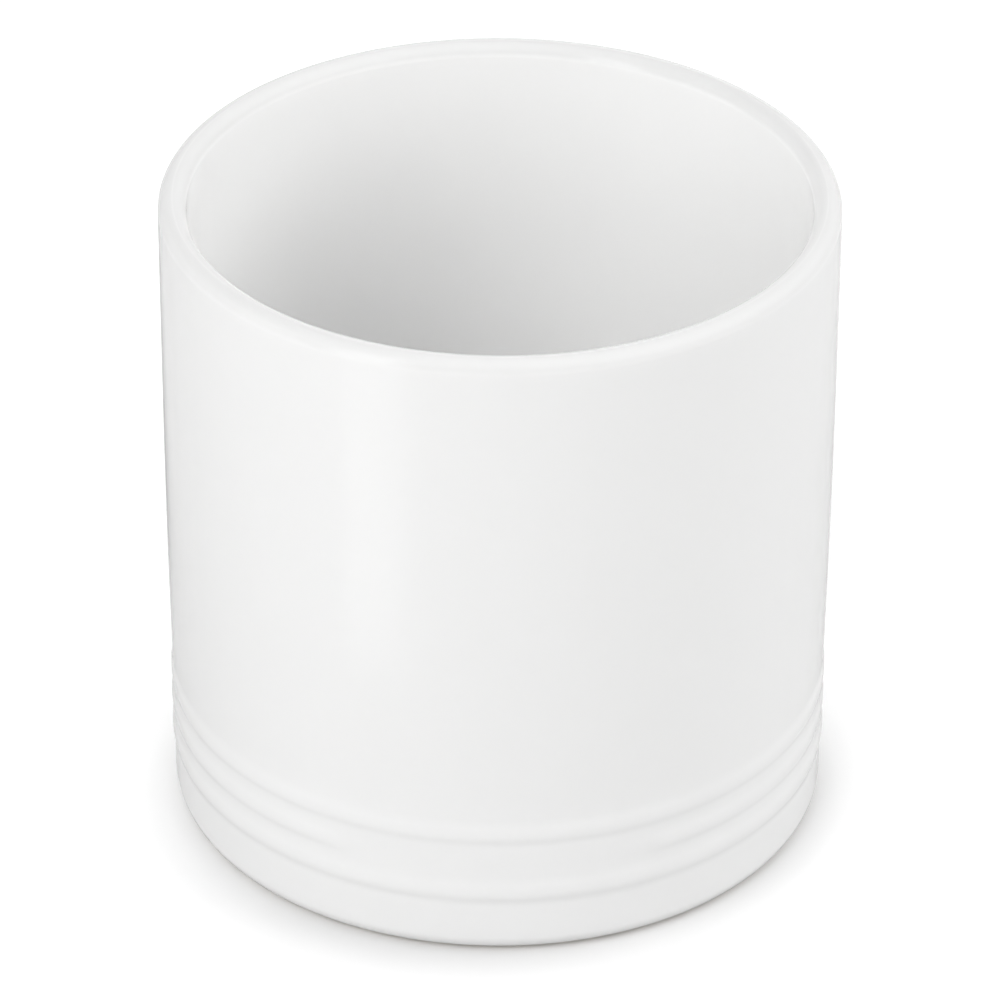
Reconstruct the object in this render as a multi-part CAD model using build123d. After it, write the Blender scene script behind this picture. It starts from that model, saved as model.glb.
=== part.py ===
from build123d import *
import os
from math import asin, degrees, pi, sqrt

# Utensil crock: a straight-sided stoneware pot with a full-round rim, three low ridges above
# a plain foot band, and a glossy glaze that stops short of the ring it stands on.
# Millimetres. The origin is the centre of the base on the table, +Z is up, the front is -Y.

# Driving dimensions of the pot
wall_diameter = 150.0
overall_height = 151.5
wall_thickness = 6.2
floor_thickness = 7.0
inner_corner_radius = 12.0
glaze_thickness = 0.4

# The lower part of the wall draws in a little on its way down to just above the top ridge
wall_draw_in = 0.6
draw_in_top = 100.0
draw_in_clearance = 0.6

# Foot
foot_edge_radius = 4.5
foot_band_inset = 0.2
foot_ring_width = 5.0
foot_ring_inner_radius = 1.0
recess_depth = 3.0
recess_corner_radius = 1.5
glaze_line_height = 1.2

# Ridges
ridge_count = 3
ridge_pitch = 7.5
lowest_ridge_height = 16.0
ridge_height = 0.3
upper_slope_width = 4.4
lower_slope_width = 2.8
ridge_seat_depth = 1.5

# Bare panel on the front, where the middle ridge is left out
panel_width = 69.0
ridge_fade_length = 3.5

# Sizes that follow from the ones above. Radii are taken from the pot's axis.
wall_radius = wall_diameter / 2
rim_radius = wall_thickness / 2
rim_centre_radius = wall_radius - rim_radius
rim_centre_height = overall_height - rim_radius
cavity_radius = wall_radius - wall_thickness
lower_wall_radius = wall_radius - wall_draw_in
lower_cavity_radius = cavity_radius - wall_draw_in
floor_height = recess_depth + floor_thickness
corner_centre_radius = lower_cavity_radius - inner_corner_radius
corner_centre_height = floor_height + inner_corner_radius
upper_bend_radius = (upper_slope_width**2 + ridge_height**2) / (4 * ridge_height)
lower_bend_radius = (lower_slope_width**2 + ridge_height**2) / (4 * ridge_height)
top_ridge_height = lowest_ridge_height + (ridge_count - 1) * ridge_pitch
draw_in_bottom = top_ridge_height + upper_slope_width + draw_in_clearance
band_radius = lower_wall_radius - foot_band_inset
foot_centre_radius = band_radius - foot_edge_radius
foot_centre_height = foot_edge_radius - glaze_thickness
ring_inner_radius = foot_centre_radius - foot_ring_width
recess_radius = ring_inner_radius - foot_ring_inner_radius
recess_ceiling = recess_depth + glaze_thickness
recess_centre_radius = recess_radius - recess_corner_radius
recess_centre_height = recess_ceiling - recess_corner_radius
glaze_line_angle = degrees(asin((foot_centre_height - glaze_line_height) / foot_edge_radius))


def turned(lines):
    """Spin a closed outline, drawn as radius and height, about the pot's axis."""
    return revolve(make_face([Plane.XZ * line for line in lines]), Axis.Z)


def rim_arc(skin, start, sweep):
    """Part of the round rim, at a depth of skin below the glaze's surface."""
    centre = (rim_centre_radius, rim_centre_height)
    return CenterArc(centre, rim_radius - skin, start, sweep)


def foot_arc(skin, sweep):
    """The rounded outer edge of the foot, from the band downwards."""
    centre = (foot_centre_radius, foot_centre_height)
    return CenterArc(centre, foot_edge_radius - skin, 0, -sweep)


def corner_arc(skin):
    """The rounded corner between the floor and the inside wall."""
    centre = (corner_centre_radius, corner_centre_height)
    return CenterArc(centre, inner_corner_radius + skin, -90, 90)


def recess_arc(skin):
    """The rounded corner of the recess under the floor, from its ceiling to its wall."""
    centre = (recess_centre_radius, recess_centre_height)
    return CenterArc(centre, recess_corner_radius - skin, 90, -90)


def wall_lines(top_radius, lower_radius, bottom_height):
    """One face of the wall from the rim down: straight, then drawing in, then straight again."""
    start = (top_radius, draw_in_top)
    end = (lower_radius, draw_in_bottom)
    return [
        Line((top_radius, rim_centre_height), start),
        TangentArc(start, end, tangent=(0, -1)),
        Line(end, (lower_radius, bottom_height)),
    ]


def outside_lines(skin):
    """The wall and the foot band, with the small step in that the lowest ridge covers."""
    step = lowest_ridge_height + skin
    return wall_lines(wall_radius - skin, lower_wall_radius - skin, step) + [
        Line((lower_wall_radius - skin, step), (band_radius - skin, step)),
        Line((band_radius - skin, step), (band_radius - skin, foot_centre_height)),
    ]


def inside_lines(skin):
    """The inside wall from the rim down, its corner and the floor."""
    return wall_lines(cavity_radius + skin, lower_cavity_radius + skin, corner_centre_height) + [
        corner_arc(skin),
        Line((0, floor_height - skin), (corner_centre_radius, floor_height - skin)),
    ]


def rounded_end(first, last):
    """A half round that ends a coat of glaze, bulging to the left of the way to last."""
    bulge = (last - first).rotate(Axis.Z, 90) / 2
    return ThreePointArc(first, (first + last) / 2 + bulge, last)


def ridge_ring(crest_height, lower_radius, skin):
    """One ridge as a full ring: a gentle slope above its crest, a steeper one down to lower_radius."""
    crest_radius = lower_wall_radius + ridge_height
    drop = crest_radius - lower_radius
    lower_width = sqrt(4 * lower_bend_radius * drop - drop**2)
    upper_edge = crest_height + upper_slope_width
    lower_edge = crest_height - lower_width
    upper_angle = degrees(asin(upper_slope_width / 2 / upper_bend_radius))
    lower_angle = degrees(asin(lower_width / 2 / lower_bend_radius))
    upper_root = (lower_wall_radius + upper_bend_radius, upper_edge)
    upper_crest = (crest_radius - upper_bend_radius, crest_height)
    lower_crest = (crest_radius - lower_bend_radius, crest_height)
    lower_root = (lower_radius + lower_bend_radius, lower_edge)
    seat_radius = lower_wall_radius - ridge_seat_depth
    return turned([
        Line((seat_radius, upper_edge), (lower_wall_radius - skin, upper_edge)),
        CenterArc(upper_root, upper_bend_radius + skin, 180, upper_angle),
        CenterArc(upper_crest, upper_bend_radius - skin, upper_angle, -upper_angle),
        CenterArc(lower_crest, lower_bend_radius - skin, 0, -lower_angle),
        CenterArc(lower_root, lower_bend_radius + skin, 180 - lower_angle, lower_angle),
        Line((lower_radius - skin, lower_edge), (seat_radius, lower_edge)),
        Line((seat_radius, lower_edge), (seat_radius, upper_edge)),
    ])


def panel_cutter(skin):
    """A drum set back from the front, which the middle ridge sinks into beside the panel."""
    crest = lower_wall_radius + ridge_height
    end_angle = panel_width / 2 / lower_wall_radius
    full_angle = (panel_width / 2 + ridge_fade_length) / lower_wall_radius
    end = Vector(lower_wall_radius, 0).rotate(Axis.Z, degrees(end_angle - pi / 2))
    full = Vector(crest, 0).rotate(Axis.Z, degrees(full_angle - pi / 2))
    set_back = (crest**2 - lower_wall_radius**2) / (2 * (full.Y - end.Y))
    drum_radius = (end - Vector(0, set_back)).length
    return Pos(0, set_back, overall_height / 2) * Cylinder(drum_radius - skin, overall_height)


def ridges(skin):
    """Every ridge, with the middle one left out across the front panel."""
    rings = []
    for index in range(ridge_count):
        lower_radius = band_radius if index == 0 else lower_wall_radius
        ring = ridge_ring(lowest_ridge_height + index * ridge_pitch, lower_radius, skin)
        if index == ridge_count // 2:
            ring = ring & panel_cutter(skin)
        rings.append(ring)
    return rings


def make_body():
    """The fired clay: foot ring, recess, floor and wall, with the ridges raised on it."""
    skin = glaze_thickness
    pot = turned(inside_lines(skin) + [rim_arc(skin, 180, -180)] + outside_lines(skin) + [
        foot_arc(skin, 90),
        Line((foot_centre_radius, 0), (ring_inner_radius, 0)),
        CenterArc((ring_inner_radius, foot_ring_inner_radius), foot_ring_inner_radius, -90, -90),
        Line((recess_radius, foot_ring_inner_radius), (recess_radius, recess_centre_height)),
        recess_arc(0),
        Line((recess_centre_radius, recess_ceiling), (0, recess_ceiling)),
        Line((0, recess_ceiling), (0, floor_height - skin)),
    ])
    return pot + ridges(skin)


def make_outer_glaze(body):
    """The coat on the outside, from the rim's crest to the glaze line on the foot."""
    surface = foot_arc(0, glaze_line_angle)
    underside = foot_arc(glaze_thickness, glaze_line_angle)
    coat = turned(
        [rim_arc(0, 90, -90)] + outside_lines(0) + [surface, rounded_end(surface @ 1, underside @ 1)]
        + [underside] + outside_lines(glaze_thickness) + [
            rim_arc(glaze_thickness, 90, -90),
            Line((rim_centre_radius, overall_height - glaze_thickness), (rim_centre_radius, overall_height)),
        ]
    )
    return coat + ridges(0) - body


def make_liner_glaze():
    """The coat on the inside, from the rim's crest down the wall and over the floor."""
    return turned(
        [rim_arc(0, 90, 90), rim_arc(glaze_thickness, 90, 90)]
        + inside_lines(0) + inside_lines(glaze_thickness) + [
            Line((0, floor_height - glaze_thickness), (0, floor_height)),
            Line((rim_centre_radius, overall_height - glaze_thickness), (rim_centre_radius, overall_height)),
        ]
    )


def make_base_glaze():
    """The coat in the recess under the floor, which ends at the corner's lower edge."""
    surface = recess_arc(glaze_thickness)
    underside = recess_arc(0)
    return turned([
        Line((0, recess_depth), (recess_centre_radius, recess_depth)),
        surface,
        rounded_end(underside @ 1, surface @ 1),
        underside,
        Line((0, recess_ceiling), (recess_centre_radius, recess_ceiling)),
        Line((0, recess_depth), (0, recess_ceiling)),
    ])


stoneware_body = make_body()
pieces = {
    "stoneware_body": stoneware_body,
    "outer_glaze": make_outer_glaze(stoneware_body),
    "liner_glaze": make_liner_glaze(),
    "base_glaze": make_base_glaze(),
}

os.makedirs("parts", exist_ok=True)
for name, piece in pieces.items():
    export_step(piece, f"parts/{name}.step")
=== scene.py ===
import bpy
import numpy as np
from math import cos, pi, radians, sin
from mathutils import Matrix, Vector


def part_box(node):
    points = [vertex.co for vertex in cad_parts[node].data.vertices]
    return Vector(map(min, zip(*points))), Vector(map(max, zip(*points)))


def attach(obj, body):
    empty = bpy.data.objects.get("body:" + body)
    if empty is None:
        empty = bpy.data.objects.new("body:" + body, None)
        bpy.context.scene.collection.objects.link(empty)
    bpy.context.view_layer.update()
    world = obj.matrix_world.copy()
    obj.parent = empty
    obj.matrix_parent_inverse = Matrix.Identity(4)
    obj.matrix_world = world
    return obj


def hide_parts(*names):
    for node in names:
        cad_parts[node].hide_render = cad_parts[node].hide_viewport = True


# Utensil crock: a stoneware pot in a glossy white glaze, on a pale studio floor.
# Metres. The pot stands on z = 0 and its bare front panel faces -Y.

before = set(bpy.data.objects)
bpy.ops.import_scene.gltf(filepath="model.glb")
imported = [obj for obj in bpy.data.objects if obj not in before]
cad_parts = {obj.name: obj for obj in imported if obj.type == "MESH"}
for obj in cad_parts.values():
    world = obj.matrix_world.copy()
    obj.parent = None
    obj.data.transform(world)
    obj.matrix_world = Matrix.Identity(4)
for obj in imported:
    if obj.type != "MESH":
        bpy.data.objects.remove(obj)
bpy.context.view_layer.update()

mm = 0.001
glaze_thickness = 0.4 * mm

# Camera, at the photograph's viewing angle
camera_distance = 1424.91 * mm
camera_lens = 227.425
camera_sensor = 36
camera_pitch = 31.638
camera_roll = 0.29
camera_aim = Vector((0.3, 0, 72.154)) * mm
camera_reach = 50

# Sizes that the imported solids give
outer_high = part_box("outer_glaze")[1]
liner_low, liner_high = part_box("liner_glaze")
base_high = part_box("base_glaze")[1]
overall_height = outer_high.z
wall_radius = outer_high.x
rim_centre_radius = liner_high.x
rim_radius = wall_radius - rim_centre_radius
rim_centre = (rim_centre_radius, overall_height - rim_radius)
cavity_radius = rim_centre_radius - rim_radius
floor_height = liner_low.z + glaze_thickness
recess_radius = base_high.x
recess_ceiling = base_high.z - glaze_thickness

# Ridges, from the lowest up, and the bare panel that the middle one leaves free
ridge_height = 0.3 * mm
upper_slope_width = 4.4 * mm
lower_slope_width = 2.8 * mm
upper_bend_radius = (upper_slope_width**2 + ridge_height**2) / (4 * ridge_height)
lower_bend_radius = (lower_slope_width**2 + ridge_height**2) / (4 * ridge_height)
ridge_pitch = 7.5 * mm
lowest_crest = 16 * mm
middle_crest = lowest_crest + ridge_pitch
top_crest = middle_crest + ridge_pitch
panel_half_width = 34.5 * mm
ridge_fade_length = 3.5 * mm

# The lower part of the wall draws in a little on its way down to just above the top ridge
wall_draw_in = 0.6 * mm
draw_in_top = 100 * mm
draw_in_clearance = 0.6 * mm
draw_in_bottom = top_crest + upper_slope_width + draw_in_clearance
draw_in_length = draw_in_top - draw_in_bottom
draw_in_bend = (draw_in_length**2 + wall_draw_in**2) / (2 * wall_draw_in)
lower_wall_radius = wall_radius - wall_draw_in
lower_cavity_radius = cavity_radius - wall_draw_in

# Inside corner, recess and foot, all on the face of the glaze
inner_corner_radius = 12 * mm
inner_corner_centre = (lower_cavity_radius - inner_corner_radius, floor_height + inner_corner_radius)
recess_corner_radius = 1.1 * mm
recess_corner_centre = (
    recess_radius - glaze_thickness - recess_corner_radius,
    recess_ceiling - recess_corner_radius,
)
foot_band_inset = 0.2 * mm
foot_edge_radius = 4.5 * mm
band_radius = lower_wall_radius - foot_band_inset
foot_edge_centre = (band_radius - foot_edge_radius, foot_edge_radius - glaze_thickness)
glaze_line_angle = 39.8

# The lowest ridge runs on below the wall's face, down to the foot band
lowest_drop = ridge_height + foot_band_inset
lowest_slope_width = (4 * lower_bend_radius * lowest_drop - lowest_drop**2) ** 0.5

# Faint unevenness of the wall: its depth, and each wave's lobes, twist over a metre and start
sway_depth = 0.05 * mm
sway_waves = ((2, 0, 0.7), (3, 55, 0), (5, -31, 0))

# Depth of the glaze, from 0 at its thinnest to 1 at its deepest, and how it follows the face's bend; it
# counts only on faces that look up or down, so its thin end paints shade on the rim's top
plain_depth = 0.5
depth_per_bend = 1.2 * mm
bend_window = 5
level_from = 0.5

# Depths between which the glaze's tone turns to its pooled tone, and to its thin tone, which is partly
# painted shade
pooled_start, pooled_full = 0.5, 0.9
thin_shade_start, thin_shade_full = 0.47, 0.12

# Size of the glaze's ripple in height, and how dull the base coat is where it is dullest
wall_ripple = 0.012 * mm
base_ripple = 0.02 * mm
base_dullness = 0.18

# How finely the coats are divided
segments = 240
rim_steps = 30
outer_wall_steps = 38
inner_wall_steps = 40
ridge_steps = 90
band_steps = 4
foot_edge_steps = 10
inner_corner_steps = 20
recess_corner_steps = 10
flat_steps = 16
rolled_edge_steps = 6
back_stride = 3
sharp_angle = 50


def arc(centre, radius, start, sweep, steps):
    """Points along part of a circle in the pot's section, both ends included."""
    turns = np.radians(start + sweep * np.linspace(0, 1, steps + 1))
    return np.array(centre) + radius * np.stack([np.cos(turns), np.sin(turns)], axis=1)


def inner_values(first, last, steps):
    """Evenly spaced values from first to last, without these two."""
    return np.linspace(first, last, steps + 1)[1:-1]


def between(first, last, steps):
    """Points along a straight stretch of the section, without its ends."""
    shares = inner_values(0, 1, steps)[:, None]
    return np.array(first) * (1 - shares) + np.array(last) * shares


def slope_lift(offset, width, rise, bend):
    """Height of one side of a ridge at a distance from its crest: a rounded top on a soft root."""
    root = bend - np.sqrt(bend**2 - np.clip(width - offset, 0, width / 2) ** 2)
    top = rise - bend + np.sqrt(bend**2 - np.clip(offset, 0, width / 2) ** 2)
    return np.where(offset < width / 2, top, root)


def ridge_lift(heights, crest, lower_width=lower_slope_width, lower_rise=ridge_height):
    """How far a ridge stands off the wall at each height: gently sloped above, steeper below."""
    upper = slope_lift(heights - crest, upper_slope_width, ridge_height, upper_bend_radius)
    lower = slope_lift(crest - heights, lower_width, lower_rise, lower_bend_radius)
    return np.where(heights > crest, upper, lower)


def draw_in(heights):
    """How far the wall lies inside its full radius at each height."""
    depth = np.clip(draw_in_top - heights, 0, draw_in_length)
    return draw_in_bend - np.sqrt(draw_in_bend**2 - depth**2)


def outer_radius(heights):
    """The outside of the pot without its middle ridge; the foot band lies a little further in."""
    wall = wall_radius - draw_in(heights)
    upper = wall + ridge_lift(heights, top_crest) + ridge_lift(heights, lowest_crest)
    lower = band_radius + ridge_lift(heights, lowest_crest, lowest_slope_width, lowest_drop)
    return np.where(heights > lowest_crest, upper, lower)


def outer_face():
    """The outer coat's face, from the glaze line on the foot up to the crest of the rim."""
    ridge_bottom = lowest_crest - lowest_slope_width
    ridge_top = top_crest + upper_slope_width
    heights = np.concatenate([
        inner_values(foot_edge_centre[1], ridge_bottom, band_steps),
        np.linspace(ridge_bottom, ridge_top, ridge_steps + 1),
        inner_values(ridge_top, rim_centre[1], outer_wall_steps),
    ])
    return np.concatenate([
        arc(foot_edge_centre, foot_edge_radius, -glaze_line_angle, glaze_line_angle, foot_edge_steps),
        np.stack([outer_radius(heights), heights], axis=1),
        arc(rim_centre, rim_radius, 0, 90, rim_steps),
    ])


def liner_face():
    """The liner's face, from the crest of the rim down the wall to the middle of the floor."""
    floor_edge = (inner_corner_centre[0], floor_height)
    heights = inner_values(rim_centre[1], inner_corner_centre[1], inner_wall_steps)
    return np.concatenate([
        arc(rim_centre, rim_radius, 90, 90, rim_steps),
        np.stack([cavity_radius - draw_in(heights), heights], axis=1),
        arc(inner_corner_centre, inner_corner_radius, 0, -90, inner_corner_steps),
        between(floor_edge, (0, floor_height), flat_steps),
        [(0, floor_height)],
    ])


def recess_face():
    """The base coat's face, from the middle of the recess to its corner's lower edge."""
    ceiling_edge = (recess_corner_centre[0], recess_ceiling)
    return np.concatenate([
        [(0, recess_ceiling)],
        between((0, recess_ceiling), ceiling_edge, flat_steps),
        arc(recess_corner_centre, recess_corner_radius, 90, -90, recess_corner_steps),
    ])


def rolled_edge(first, last):
    """The half round that ends a coat, bulging to the left of the way from last to first."""
    arm = (first - last) / 2
    turns = inner_values(0, pi, rolled_edge_steps)[:, None]
    return (first + last) / 2 + arm * np.cos(turns) + np.array([-arm[1], arm[0]]) * np.sin(turns)


def glaze_depth_and_shade(face):
    """The glaze runs thin over a crest and pools in a hollow, and both fade where the face is steep; the
    thin part is also painted shade on up-facing crests.
    """
    along = np.gradient(face, axis=0)
    length = np.linalg.norm(along, axis=1)
    heading = np.unwrap(np.arctan2(along[:, 1], along[:, 0]))
    bend = np.pad(-np.gradient(heading) / length, bend_window // 2, mode="edge")
    smooth = np.convolve(bend, np.full(bend_window, 1 / bend_window), mode="valid")
    # Painted shade: depth counts only where the face looks up or down, so crests on top come out thin and
    # darker
    level = np.clip(np.abs(along[:, 0]) / length / level_from, 0, 1)
    return np.clip(plain_depth + depth_per_bend * smooth * level, 0, 1)


def coat_section(face, rolled_start=False, rolled_end=False):
    """A coat's closed outline and its glaze depth with painted shade: the face, then the back that lies
    on the clay.
    """
    along = np.gradient(face, axis=0)
    along /= np.linalg.norm(along, axis=1)[:, None]
    back = face + glaze_thickness * np.stack([-along[:, 1], along[:, 0]], axis=1)
    back[face[:, 0] == 0, 0] = 0
    kept = np.unique(np.append(np.arange(0, len(face), back_stride), len(face) - 1))[::-1]
    stretches = [face, back[kept]]
    if rolled_end:
        stretches.insert(1, rolled_edge(face[-1], back[-1]))
    if rolled_start:
        stretches.append(rolled_edge(back[0], face[0]))
    section = np.concatenate(stretches)
    depth = np.full(len(section), plain_depth)
    depth[:len(face)] = glaze_depth_and_shade(face)
    return section, depth


def panel_fade(angles):
    """0 across the bare front panel, rising smoothly to 1 where the middle ridge is whole."""
    from_front = np.minimum(angles, 2 * pi - angles) * lower_wall_radius
    share = np.clip((from_front - panel_half_width) / ridge_fade_length, 0, 1)
    return share**2 * (3 - 2 * share)


def hand_sway(angles, heights):
    """The faint unevenness of a hand-finished wall, always towards the clay."""
    waves = [np.sin(lobes * angles + twist * heights + start) for lobes, twist, start in sway_waves]
    return sway_depth * (sum(waves) + len(waves)) / (2 * len(waves))


def turned_coat(name, section, depth, sway=0, lift=0):
    """Turns a coat's section about the pot's axis; at the axis each ring closes to one point."""
    angles = (np.arange(segments) * 2 * pi / segments)[:, None]
    radii, heights = np.broadcast_arrays(section[None, :, 0], section[None, :, 1])
    heights = np.repeat(heights, segments, axis=0)
    radii = radii + panel_fade(angles) * lift - sway * hand_sway(angles, heights)
    radii = np.where(section[None, :, 0] == 0, 0, radii)
    points = np.stack([radii * np.sin(angles), -radii * np.cos(angles), heights], axis=2)
    rings = len(section)
    index = np.arange(segments * rings).reshape(segments, rings)
    index[:, section[:, 0] == 0] = index[0, section[:, 0] == 0]
    used, index = np.unique(index, return_inverse=True)
    index = index.reshape(segments, rings)
    right, up = np.roll(index, -1, axis=0), np.roll(index, -1, axis=1)
    corners = np.stack([index, right, np.roll(right, -1, axis=1), up], axis=2).reshape(-1, 4)
    faces = [list(dict.fromkeys(face)) for face in corners.tolist()]
    mesh = bpy.data.meshes.new(name)
    mesh.from_pydata(points.reshape(-1, 3)[used].tolist(), [], [face for face in faces if len(face) > 2])
    mesh.shade_smooth()
    mesh.set_sharp_from_angle(angle=radians(sharp_angle))
    attribute = mesh.attributes.new("glaze_depth_and_shade", "FLOAT", "POINT")
    attribute.data.foreach_set("value", np.tile(depth, segments)[used].astype(np.float32))
    piece = bpy.data.objects.new(name, mesh)
    bpy.context.scene.collection.objects.link(piece)
    return piece


def coat_piece(piece, node, material):
    """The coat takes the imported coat's place on the body and gets its finish."""
    piece.data.materials.append(material)
    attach(piece, "root")
    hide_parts(node)


def add_node(tree, kind, sockets=None, **settings):
    """A shader node with its settings, its input values, and links from other nodes' outputs."""
    node = tree.nodes.new(kind)
    for name, value in settings.items():
        setattr(node, name, value)
    for name, value in (sockets or {}).items():
        if isinstance(value, bpy.types.NodeSocket):
            tree.links.new(value, node.inputs[name])
        else:
            node.inputs[name].default_value = value
    return node


def texture_scale(tree, size):
    """How often a texture repeats in a metre, from the size of its features."""
    return add_node(tree, "ShaderNodeMath", {0: 1.0, 1: size}, operation="DIVIDE").outputs[0]


def blend_colours(tree, share, first, second):
    """The first colour where the share is 0, and the second where it is 1."""
    mix = add_node(tree, "ShaderNodeMix", {"Factor": share, 6: first, 7: second}, data_type="RGBA")
    return mix.outputs[2]


def effect_group(name, takes, gives):
    """An empty node group with named inputs and outputs; returns its tree and both end nodes."""
    tree = bpy.data.node_groups.new(name, "ShaderNodeTree")
    kinds = {"float": "NodeSocketFloat", "colour": "NodeSocketColor"}
    for socket, (kind, value) in takes.items():
        made = tree.interface.new_socket(socket, in_out="INPUT", socket_type=kinds[kind])
        made.default_value = value
    for socket, kind in gives.items():
        tree.interface.new_socket(socket, in_out="OUTPUT", socket_type=kinds[kind])
    return tree, tree.nodes.new("NodeGroupInput"), tree.nodes.new("NodeGroupOutput")


def glaze_tone_group():
    """Colour of a mottled glaze: darker where it is thin, partly clay showing through and partly painted
    shade on up-facing crests, and paler where it pools.
    """
    tree, given, result = effect_group(
        "glaze_tone",
        {
            "Body": ("colour", (0.82, 0.82, 0.82, 1)),
            "Thin Shade": ("colour", (0.78, 0.78, 0.78, 1)),
            "Pooled": ("colour", (0.84, 0.84, 0.84, 1)),
            "Mottle": ("float", 0.6),
            "Mottle Size": ("float", 9.0 * mm),
        },
        {"Colour": "colour"},
    )
    place = add_node(tree, "ShaderNodeTexCoord")
    depth = add_node(tree, "ShaderNodeAttribute", attribute_name="glaze_depth_and_shade")
    noise = add_node(tree, "ShaderNodeTexNoise", {
        "Vector": place.outputs["Object"], "Scale": texture_scale(tree, given.outputs["Mottle Size"]),
        "Detail": 3.0, "Roughness": 0.55,
    })
    drift = add_node(tree, "ShaderNodeMath", {0: noise.outputs["Fac"], 1: 0.5}, operation="SUBTRACT")
    hollow = add_node(tree, "ShaderNodeMapRange", {
        "Value": depth.outputs["Fac"], "From Min": pooled_start, "From Max": pooled_full,
    }, interpolation_type="SMOOTHSTEP")
    pool = add_node(tree, "ShaderNodeMath", {
        0: drift.outputs[0], 1: given.outputs["Mottle"], 2: hollow.outputs["Result"],
    }, operation="MULTIPLY_ADD", use_clamp=True)
    # Thin tone on crests: partly clay showing through the glaze, partly painted shade on the rim's top
    crest = add_node(tree, "ShaderNodeMapRange", {
        "Value": depth.outputs["Fac"], "From Min": thin_shade_start, "From Max": thin_shade_full,
    }, interpolation_type="SMOOTHSTEP")
    full = blend_colours(tree, pool.outputs[0], given.outputs["Body"], given.outputs["Pooled"])
    tone = blend_colours(tree, crest.outputs["Result"], full, given.outputs["Thin Shade"])
    tree.links.new(tone, result.inputs["Colour"])
    return tree


def glaze_skin_group():
    """Height of a glaze's skin, with its soft ripple and a few pinholes, and how its gloss varies."""
    tree, given, result = effect_group(
        "glaze_skin",
        {
            "Ripple Size": ("float", 5.0 * mm),
            "Pinhole Spacing": ("float", 16.0 * mm),
            "Pinhole Radius": ("float", 0.012),
            "Gloss": ("float", 0.07),
            "Dull": ("float", 0.11),
        },
        {"Height": "float", "Roughness": "float"},
    )
    place = add_node(tree, "ShaderNodeTexCoord")
    ripple = add_node(tree, "ShaderNodeTexNoise", {
        "Vector": place.outputs["Object"], "Scale": texture_scale(tree, given.outputs["Ripple Size"]),
        "Detail": 1.0, "Roughness": 0.4,
    })
    holes = add_node(tree, "ShaderNodeTexVoronoi", {
        "Vector": place.outputs["Object"], "Scale": texture_scale(tree, given.outputs["Pinhole Spacing"]),
        "Randomness": 1.0,
    })
    pit = add_node(tree, "ShaderNodeMapRange", {
        "Value": holes.outputs["Distance"], "From Min": 0.0, "From Max": given.outputs["Pinhole Radius"],
        "To Min": -1.0, "To Max": 0.0,
    }, interpolation_type="SMOOTHSTEP")
    height = add_node(tree, "ShaderNodeMath", {
        0: ripple.outputs["Fac"], 1: pit.outputs["Result"],
    }, operation="ADD")
    gloss = add_node(tree, "ShaderNodeMapRange", {
        "Value": ripple.outputs["Fac"], "From Min": 0.3, "From Max": 0.7,
        "To Min": given.outputs["Gloss"], "To Max": given.outputs["Dull"],
    })
    tree.links.new(height.outputs[0], result.inputs["Height"])
    tree.links.new(gloss.outputs["Result"], result.inputs["Roughness"])
    return tree


def clay_grain_group():
    """Colour and height of bare fired clay: fine grain, darker grog specks and turning lines."""
    tree, given, result = effect_group(
        "clay_grain",
        {
            "Pale": ("colour", (0.72, 0.66, 0.57, 1)),
            "Dark": ("colour", (0.55, 0.48, 0.39, 1)),
            "Speck": ("colour", (0.30, 0.22, 0.16, 1)),
            "Grain Size": ("float", 0.35 * mm),
            "Patch Scale": ("float", 90.0),
            "Speck Scale": ("float", 520.0),
            "Turning Line Scale": ("float", 260.0),
        },
        {"Colour": "colour", "Height": "float"},
    )
    place = add_node(tree, "ShaderNodeTexCoord")
    grain = add_node(tree, "ShaderNodeTexNoise", {
        "Vector": place.outputs["Object"], "Scale": texture_scale(tree, given.outputs["Grain Size"]),
        "Detail": 4.0, "Roughness": 0.65,
    })
    patches = add_node(tree, "ShaderNodeTexNoise", {
        "Vector": place.outputs["Object"], "Scale": given.outputs["Patch Scale"], "Detail": 2.0,
    })
    specks = add_node(tree, "ShaderNodeTexVoronoi", {
        "Vector": place.outputs["Object"], "Scale": given.outputs["Speck Scale"],
    })
    spot = add_node(tree, "ShaderNodeMapRange", {
        "Value": specks.outputs["Distance"], "From Min": 0.08, "From Max": 0.16,
        "To Min": 1.0, "To Max": 0.0,
    })
    rings = add_node(tree, "ShaderNodeTexWave", {
        "Vector": place.outputs["Object"], "Scale": given.outputs["Turning Line Scale"],
        "Distortion": 0.6, "Detail": 2.0,
    }, wave_type="RINGS", rings_direction="Z")
    blend = add_node(tree, "ShaderNodeMath", {
        0: grain.outputs["Fac"], 1: 0.6, 2: patches.outputs["Fac"],
    }, operation="MULTIPLY_ADD")
    share = add_node(tree, "ShaderNodeMapRange", {
        "Value": blend.outputs[0], "From Min": 0.55, "From Max": 1.05,
    })
    body = blend_colours(tree, share.outputs["Result"], given.outputs["Pale"], given.outputs["Dark"])
    tone = blend_colours(tree, spot.outputs["Result"], body, given.outputs["Speck"])
    height = add_node(tree, "ShaderNodeMath", {
        0: rings.outputs["Fac"], 1: 0.5, 2: grain.outputs["Fac"],
    }, operation="MULTIPLY_ADD")
    tree.links.new(tone, result.inputs["Colour"])
    tree.links.new(height.outputs[0], result.inputs["Height"])
    return tree


def empty_material(name):
    """A material with only its output node; returns it with its tree and that node."""
    material = bpy.data.materials.new(name)
    material.use_nodes = True
    material.node_tree.nodes.clear()
    return material, material.node_tree, material.node_tree.nodes.new("ShaderNodeOutputMaterial")


def place_group(tree, group, values=None):
    """One use of an effect group, with its own values."""
    node = add_node(tree, "ShaderNodeGroup", node_tree=group)
    for name, value in (values or {}).items():
        node.inputs[name].default_value = value
    return node


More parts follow.
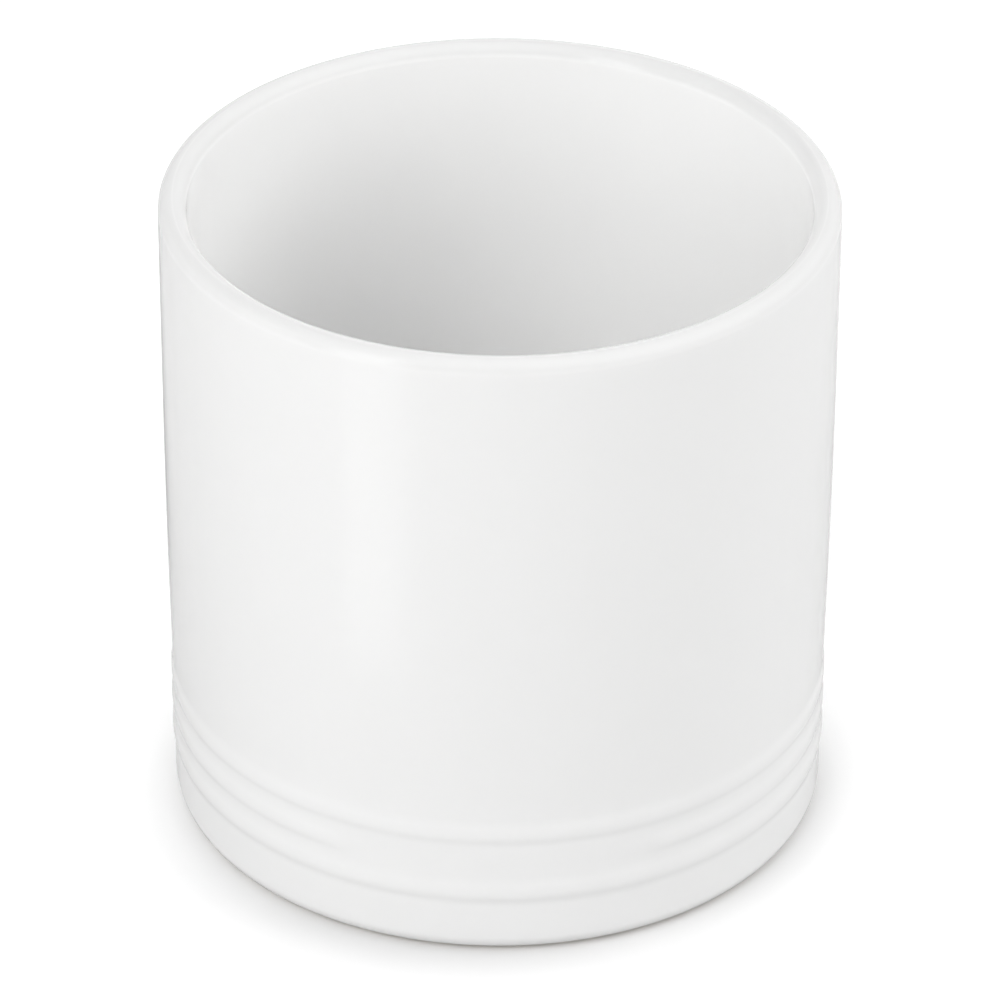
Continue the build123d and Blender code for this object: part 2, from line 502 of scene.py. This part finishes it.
def glaze_material(name, tone_values, skin_values, ripple_depth):
    """Glossy glaze: tone and skin from the groups, gloss from the shader."""
    material, tree, output = empty_material(name)
    tone = place_group(tree, glaze_tone, tone_values)
    skin = place_group(tree, glaze_skin, skin_values)
    bump = add_node(tree, "ShaderNodeBump", {
        "Height": skin.outputs["Height"], "Strength": 1.0, "Distance": ripple_depth,
    })
    shader = add_node(tree, "ShaderNodeBsdfPrincipled", {
        "Base Color": tone.outputs["Colour"], "Roughness": skin.outputs["Roughness"],
        "Normal": bump.outputs["Normal"], "IOR": 1.5,
    })
    tree.links.new(shader.outputs["BSDF"], output.inputs["Surface"])
    return material


def clay_material():
    """Matt bare clay, seen on the foot ring and under the glaze line."""
    material, tree, output = empty_material("bare_fired_clay")
    grain = place_group(tree, clay_grain)
    bump = add_node(tree, "ShaderNodeBump", {
        "Height": grain.outputs["Height"], "Strength": 1.0, "Distance": 0.06 * mm,
    })
    shader = add_node(tree, "ShaderNodeBsdfPrincipled", {
        "Base Color": grain.outputs["Colour"], "Roughness": 0.85, "Specular IOR Level": 0.3,
        "Normal": bump.outputs["Normal"],
    })
    tree.links.new(shader.outputs["BSDF"], output.inputs["Surface"])
    return material


def seen_level(tree, diffuse, reflected, direct):
    """One level for rays of diffuse light, one for glossy and clear surfaces, one for the camera."""
    path = add_node(tree, "ShaderNodeLightPath")
    mirror = add_node(tree, "ShaderNodeMath", {
        0: path.outputs["Is Glossy Ray"], 1: path.outputs["Is Transmission Ray"],
    }, operation="MAXIMUM")
    soft = add_node(tree, "ShaderNodeMapRange", {
        "Value": mirror.outputs[0], "To Min": diffuse, "To Max": reflected,
    })
    return add_node(tree, "ShaderNodeMapRange", {
        "Value": path.outputs["Is Camera Ray"], "To Min": soft.outputs["Result"], "To Max": direct,
    }).outputs["Result"]


def studio_floor():
    """A wide pale floor that reads as white away from the pot; near the pot its glow drops, a painted
    shadow on top of the shadow the lamps cast.
    """
    material, tree, output = empty_material("pale_studio_floor")
    place = add_node(tree, "ShaderNodeTexCoord")
    reach = add_node(tree, "ShaderNodeVectorMath", {
        0: place.outputs["Object"], 1: shadow_centre,
    }, operation="DISTANCE")
    # Painted shadow: the floor's glow to the camera drops towards the pot's foot
    direct = add_node(tree, "ShaderNodeMapRange", {
        "Value": reach.outputs["Value"], "From Min": glow_start, "From Max": glow_end,
        "To Min": painted_shadow_glow, "To Max": floor_glow,
    }, interpolation_type="SMOOTHSTEP")
    glow = seen_level(tree, 0, mirrored_floor_glow, direct.outputs["Result"])
    shader = add_node(tree, "ShaderNodeBsdfPrincipled", {
        "Base Color": (floor_tone, floor_tone, floor_tone, 1), "Roughness": 1.0,
        "Specular IOR Level": 0.0, "Emission Color": (1, 1, 1, 1), "Emission Strength": glow,
    })
    tree.links.new(shader.outputs["BSDF"], output.inputs["Surface"])
    mesh = bpy.data.meshes.new("studio_floor")
    corners = [(-floor_reach, -floor_reach, 0), (floor_reach, -floor_reach, 0)]
    corners += [(floor_reach, floor_reach, 0), (-floor_reach, floor_reach, 0)]
    mesh.from_pydata(corners, [], [(0, 1, 2, 3)])
    mesh.materials.append(material)
    floor = bpy.data.objects.new("studio_floor", mesh)
    bpy.context.scene.collection.objects.link(floor)


def studio_world():
    """A soft even surround, which shows as white behind the pot and in its gloss."""
    world = bpy.data.worlds.new("studio_surround")
    bpy.context.scene.world = world
    world.use_nodes = True
    tree = world.node_tree
    tree.nodes.clear()
    level = seen_level(tree, surround_level, 1.0, 1.0)
    background = add_node(tree, "ShaderNodeBackground", {"Strength": level})
    output = add_node(tree, "ShaderNodeOutputWorld")
    tree.links.new(background.outputs["Background"], output.inputs["Surface"])


def softbox(name, azimuth, elevation, width, height, level):
    """A lamp that faces the pot; its level is its brightness next to paper white."""
    lamp = bpy.data.lights.new(name, "AREA")
    lamp.shape = "RECTANGLE"
    lamp.size = width
    lamp.size_y = height
    lamp.energy = level * pi * width * height
    turn, rise = radians(azimuth), radians(elevation)
    away = Vector((sin(turn) * cos(rise), -cos(turn) * cos(rise), sin(rise)))
    fixture = bpy.data.objects.new(name, lamp)
    fixture.location = Vector((0, 0, overall_height / 2)) + away * lamp_distance
    fixture.rotation_mode = "QUATERNION"
    fixture.rotation_quaternion = away.to_track_quat("Z", "Y")
    fixture.visible_glossy = False
    bpy.context.scene.collection.objects.link(fixture)


def gloss_card(name, place, turn, tilt, width, height, level, soft_side, soft_foot):
    """A bright or grey card that only gloss sees, with one soft side and a soft foot."""
    material, tree, output = empty_material(name)
    spot = add_node(tree, "ShaderNodeTexCoord")
    parts = add_node(tree, "ShaderNodeSeparateXYZ", {"Vector": spot.outputs["UV"]})
    side = add_node(tree, "ShaderNodeMapRange", {
        "Value": parts.outputs["X"], "From Min": 1.0, "From Max": 1.0 - soft_side,
    }, interpolation_type="SMOOTHSTEP")
    foot = add_node(tree, "ShaderNodeMapRange", {
        "Value": parts.outputs["Y"], "From Min": 0.0, "From Max": soft_foot,
    }, interpolation_type="SMOOTHSTEP")
    cover = add_node(tree, "ShaderNodeMath", {
        0: side.outputs["Result"], 1: foot.outputs["Result"],
    }, operation="MULTIPLY")
    glow = add_node(tree, "ShaderNodeEmission", {"Strength": level})
    clear = add_node(tree, "ShaderNodeBsdfTransparent")
    blend = add_node(tree, "ShaderNodeMixShader", {
        0: cover.outputs[0], 1: clear.outputs["BSDF"], 2: glow.outputs["Emission"],
    })
    tree.links.new(blend.outputs["Shader"], output.inputs["Surface"])
    mesh = bpy.data.meshes.new(name)
    half = width / 2
    corners = [(-half, 0, 0), (half, 0, 0), (half, 0, height), (-half, 0, height)]
    mesh.from_pydata(corners, [], [(0, 1, 2, 3)])
    mapping = mesh.uv_layers.new(name="card")
    mapping.data.foreach_set("uv", [0, 0, 1, 0, 1, 1, 0, 1])
    mesh.materials.append(material)
    card = bpy.data.objects.new(name, mesh)
    turned = Matrix.Rotation(radians(turn), 4, "Z") @ Matrix.Rotation(radians(tilt), 4, "X")
    card.matrix_world = Matrix.Translation(place) @ turned
    card.visible_camera = False
    card.visible_diffuse = False
    card.visible_shadow = False
    card.visible_transmission = False
    bpy.context.scene.collection.objects.link(card)


def photo_camera():
    """A long lens that looks down at the pot from the front."""
    data = bpy.data.cameras.new("photo_camera")
    data.lens = camera_lens
    data.sensor_width = camera_sensor
    data.clip_end = camera_reach
    camera = bpy.data.objects.new("photo_camera", data)
    tilt = Matrix.Rotation(radians(90 - camera_pitch), 4, "X")
    roll = Matrix.Rotation(radians(camera_roll), 4, "Z")
    back = Matrix.Translation((0, 0, camera_distance))
    camera.matrix_world = Matrix.Translation(camera_aim) @ tilt @ roll @ back
    bpy.context.scene.collection.objects.link(camera)
    bpy.context.scene.camera = camera


# Floor: its tone, and how brightly it glows to the camera, less near the pot than away from it, which
# paints a shadow around the foot on top of the lamps' shadow
floor_reach = 6
floor_tone = 0.65
floor_glow = 0.4
painted_shadow_glow = 0.08
mirrored_floor_glow = 0.04
shadow_centre = Vector((1.5, -8, 0)) * mm
glow_start = 57 * mm
glow_end = 91 * mm

# Surround, and lamps with their azimuth, elevation, width, height and level
surround_level = 0.547
lamp_distance = 1.6
lamps = {
    "front_softbox": (0, 12, 1.0, 0.5, 1.07),
    "front_top_softbox": (0, 45, 1.2, 0.7, 0.63),
    "front_left_softbox": (-37, 24, 1.3, 1.0, 1.19),
    "front_left_top_softbox": (-40, 45, 1.2, 0.7, 3.57),
    "left_top_softbox": (-70, 45, 1.2, 0.7, 0.31),
    "left_back_softbox": (-120, 14, 1.2, 0.6, 0.7),
    "back_softbox": (180, 11, 2.4, 0.55, 2.94),
    "right_softbox": (97, 30, 1.7, 0.9, 3.28),
}

# Cards that show in the gloss: place, turn, tilt, width, height, level, soft side and soft foot
cards = {
    "near_card": ((-0.080, -0.136, 0), -40, 0, 0.054, 0.150, 1.5, 0.4, 0.2),
    "tall_card": ((-0.954, -1.157, 0), -39.5, 0, 0.66, 1.55, 2.2, 0.3, 0.02),
    "grey_front_card": ((0.1, -2.0, 0), 0, 0, 3.0, 3.0, 0.4, 0.1, 0.01),
    "grey_ceiling_card": ((0, 5.4, 3.0), 0, 90, 6.0, 7.4, 0.65, 0.1, 0.15),
    "grey_left_card": ((-0.105, 0.03, 0.001), 180, 90, 0.1, 0.25, 0.42, 0.6, 0.4),
}

bpy.context.scene.view_settings.view_transform = "Standard"
photo_camera()
studio_floor()
studio_world()
for name, setting in lamps.items():
    softbox(name, *setting)
for name, setting in cards.items():
    gloss_card(name, *setting)

# Tones of the glaze on the outside and inside: the same white glaze, painted lighter inside to stand in
# for light the deep inside lacks, and both share the thin tone on the rim, which is partly painted shade
thin_shade_tone = (0.765, 0.765, 0.763, 1)
outer_tones = {"Body": (0.82, 0.82, 0.818, 1), "Thin Shade": thin_shade_tone, "Pooled": (0.84, 0.84, 0.838, 1)}
liner_tones_painted_lighter = {"Body": (0.915, 0.915, 0.912, 1), "Thin Shade": thin_shade_tone, "Pooled": (0.925, 0.925, 0.922, 1)}
glaze_tone = glaze_tone_group()
glaze_skin = glaze_skin_group()
clay_grain = clay_grain_group()
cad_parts["stoneware_body"].data.materials.clear()
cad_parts["stoneware_body"].data.materials.append(clay_material())

section, depth = coat_section(outer_face(), rolled_start=True)
middle_lift = ridge_lift(section[:, 1], middle_crest)
coat_piece(
    turned_coat("outer_coat", section, depth, sway=1, lift=middle_lift),
    "outer_glaze",
    glaze_material("outer_gloss_glaze", outer_tones, {}, wall_ripple),
)
section, depth = coat_section(liner_face())
# The liner's lighter tone is painted light inside the pot
coat_piece(
    turned_coat("liner_coat", section, depth, sway=-1),
    "liner_glaze",
    glaze_material("liner_glaze_painted_lighter", liner_tones_painted_lighter, {}, wall_ripple),
)
section, depth = coat_section(recess_face(), rolled_end=True)
coat_piece(
    turned_coat("base_coat", section, depth),
    "base_glaze",
    glaze_material("base_gloss_glaze", outer_tones, {"Dull": base_dullness}, base_ripple),
)
